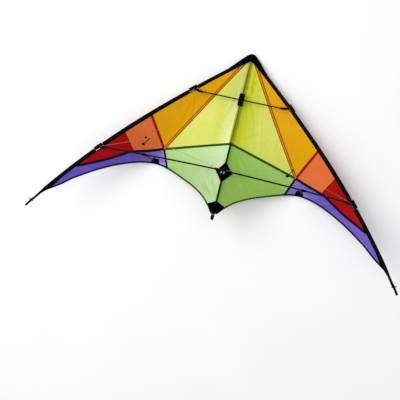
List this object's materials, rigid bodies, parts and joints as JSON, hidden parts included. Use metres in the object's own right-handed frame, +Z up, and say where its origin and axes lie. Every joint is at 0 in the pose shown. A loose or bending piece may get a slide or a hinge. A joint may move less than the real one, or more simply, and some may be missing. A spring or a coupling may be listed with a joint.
{
  "type": "stunt kite",
  "caption": "Two-line delta stunt kite with a rainbow cloth sail, black sleeves, rods, standoffs and taut bridles, lying on its back",
  "frame": {"origin": "centre of the bounding box in plan, at the height of the floor that the nose and the two standoff feet stand on", "axes": "+X across the wings to the right, +Y towards the nose, +Z up, out of the face that carries the frame and the bridles"},
  "size_m": [1.2074, 0.624, 0.2879],
  "materials": {
    "black_webbing": "matt",
    "black_rubber": "satin",
    "dark_rod": "satin",
    "spine_cloth": "satin",
    "bridle_line": "matt",
    "yellow_green_cloth": "satin",
    "golden_cloth": "satin",
    "orange_cloth": "satin",
    "red_cloth": "satin",
    "violet_cloth": "satin",
    "light_green_cloth": "satin"
  },
  "bodies": {
    "root": {"spine": "dark_rod", "spine_sleeve": "spine_cloth", "tail_cap": "black_rubber", "nose_patch": "black_webbing", "spine_clip": "black_rubber", "upper_spreader": "dark_rod", "centre_tee": "black_rubber", "centre_patch": "black_webbing", "tail_patch": "black_webbing", "yellow_green_panel_left": "yellow_green_cloth", "golden_panel_left": "golden_cloth", "orange_panel_left": "orange_cloth", "red_panel_left": "red_cloth", "violet_panel_left": "violet_cloth", "light_green_panel_left": "light_green_cloth", "trailing_edge_patch_left": "black_webbing", "leading_edge_rod_left": "dark_rod", "leading_edge_sleeve_left": "black_webbing", "wing_tip_nock_left": "black_rubber", "upper_fitting_left": "black_rubber", "lower_fitting_left": "black_rubber", "lower_spreader_left": "dark_rod", "standoff_clip_left": "black_rubber", "standoff_left": "dark_rod", "standoff_foot_left": "black_rubber", "bridle_upper_leg_left": "bridle_line", "bridle_lower_leg_left": "bridle_line", "bridle_centre_leg_left": "bridle_line", "tow_line_left": "black_rubber", "yellow_green_panel_right": "yellow_green_cloth", "golden_panel_right": "golden_cloth", "orange_panel_right": "orange_cloth", "red_panel_right": "red_cloth", "violet_panel_right": "violet_cloth", "light_green_panel_right": "light_green_cloth", "trailing_edge_patch_right": "black_webbing", "leading_edge_rod_right": "dark_rod", "leading_edge_sleeve_right": "black_webbing", "wing_tip_nock_right": "black_rubber", "upper_fitting_right": "black_rubber", "lower_fitting_right": "black_rubber", "lower_spreader_right": "dark_rod", "standoff_clip_right": "black_rubber", "standoff_right": "dark_rod", "standoff_foot_right": "black_rubber", "bridle_upper_leg_right": "bridle_line", "bridle_lower_leg_right": "bridle_line", "bridle_centre_leg_right": "bridle_line", "tow_line_right": "black_rubber"}
  },
  "joints": []
}
